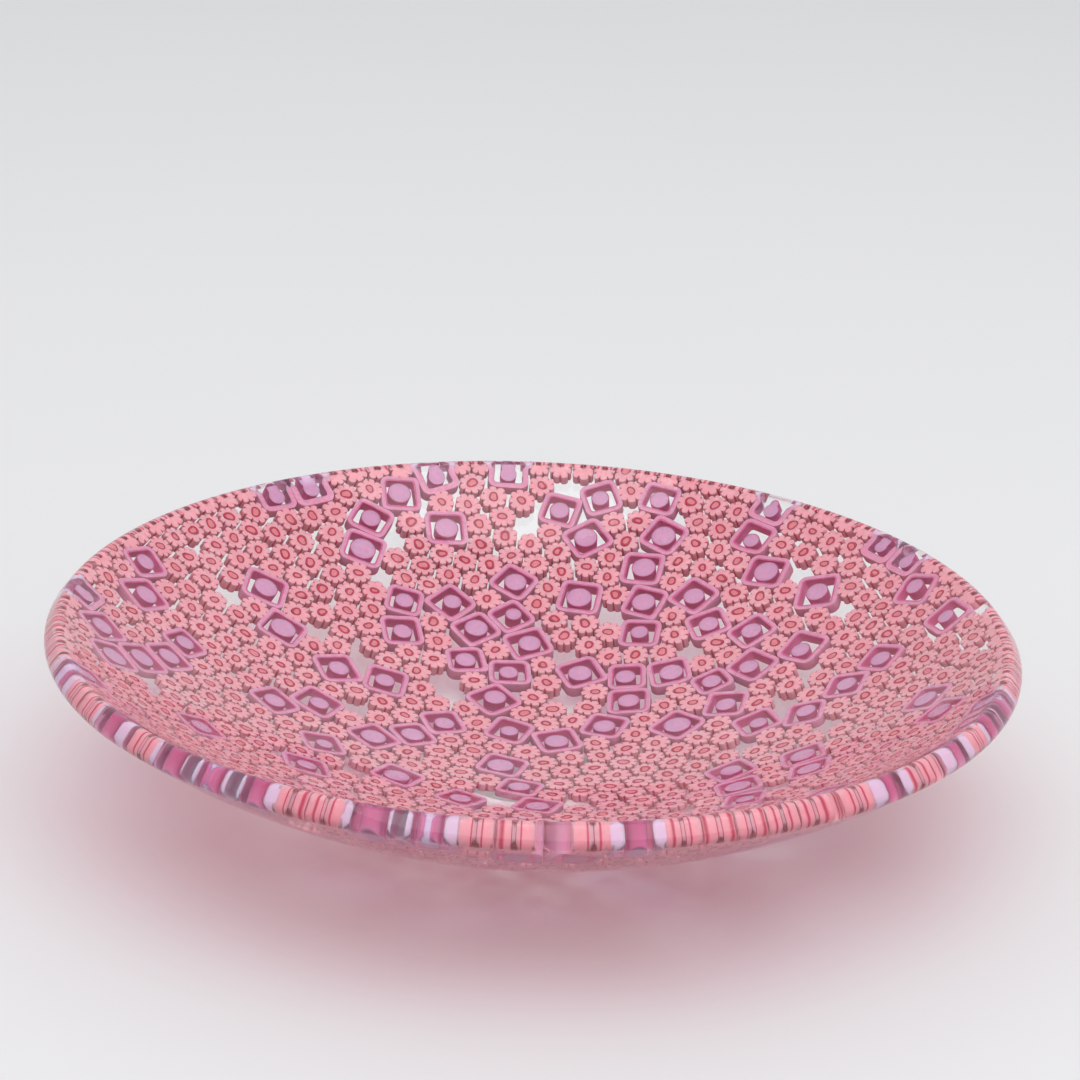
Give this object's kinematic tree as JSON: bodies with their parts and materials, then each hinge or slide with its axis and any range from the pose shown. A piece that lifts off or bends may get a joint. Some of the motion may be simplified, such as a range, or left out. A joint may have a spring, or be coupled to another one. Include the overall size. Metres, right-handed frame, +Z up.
{
  "type": "art glass bowl",
  "caption": "Shallow round bowl of fused glass mosaic: pink flower slices and lilac square slices of cane in clear glass, with a ground rounded rim and a small flat foot.",
  "frame": {"origin": "centre of the flat ground foot, on the surface that the bowl stands on", "axes": "+Z up through the open side of the bowl; X and Y across it"},
  "size_m": [0.3, 0.3, 0.0588],
  "materials": {
    "clear_glass": "clear, fire-polished",
    "petal_pink_glass": "coral pink, half opaque",
    "rose_glass": "dark rose, transparent",
    "heart_pink_glass": "pink, half opaque",
    "lilac_pink_glass": "pinkish lilac, half opaque",
    "plum_glass": "plum, transparent",
    "plum_coat_glass": "greyish plum, transparent",
    "lilac_glass": "lilac, opaque"
  },
  "bodies": {
    "root": {"clear_casing": "clear_glass", "filling_glass": "clear_glass", "centre_flower_petals": "petal_pink_glass", "centre_flower_rings": "rose_glass", "centre_flower_hearts": "heart_pink_glass", "centre_square_skins": "lilac_pink_glass", "centre_square_linings": "plum_glass", "centre_square_windows": "clear_glass", "centre_square_heart_coats": "plum_coat_glass", "centre_square_hearts": "lilac_glass", "inner_flower_petals": "petal_pink_glass", "inner_flower_rings": "rose_glass", "inner_flower_hearts": "heart_pink_glass", "inner_square_skins": "lilac_pink_glass", "inner_square_linings": "plum_glass", "inner_square_windows": "clear_glass", "inner_square_heart_coats": "plum_coat_glass", "inner_square_hearts": "lilac_glass", "middle_flower_petals": "petal_pink_glass", "middle_flower_rings": "rose_glass", "middle_flower_hearts": "heart_pink_glass", "middle_square_skins": "lilac_pink_glass", "middle_square_linings": "plum_glass", "middle_square_windows": "clear_glass", "middle_square_heart_coats": "plum_coat_glass", "middle_square_hearts": "lilac_glass", "outer_flower_petals": "petal_pink_glass", "outer_flower_rings": "rose_glass", "outer_flower_hearts": "heart_pink_glass", "outer_square_skins": "lilac_pink_glass", "outer_square_linings": "plum_glass", "outer_square_windows": "clear_glass", "outer_square_heart_coats": "plum_coat_glass", "outer_square_hearts": "lilac_glass", "rim_flower_petals": "petal_pink_glass", "rim_flower_rings": "rose_glass", "rim_flower_hearts": "heart_pink_glass", "rim_square_skins": "lilac_pink_glass", "rim_square_linings": "plum_glass", "rim_square_windows": "clear_glass", "rim_square_heart_coats": "plum_coat_glass", "rim_square_hearts": "lilac_glass"}
  },
  "joints": []
}
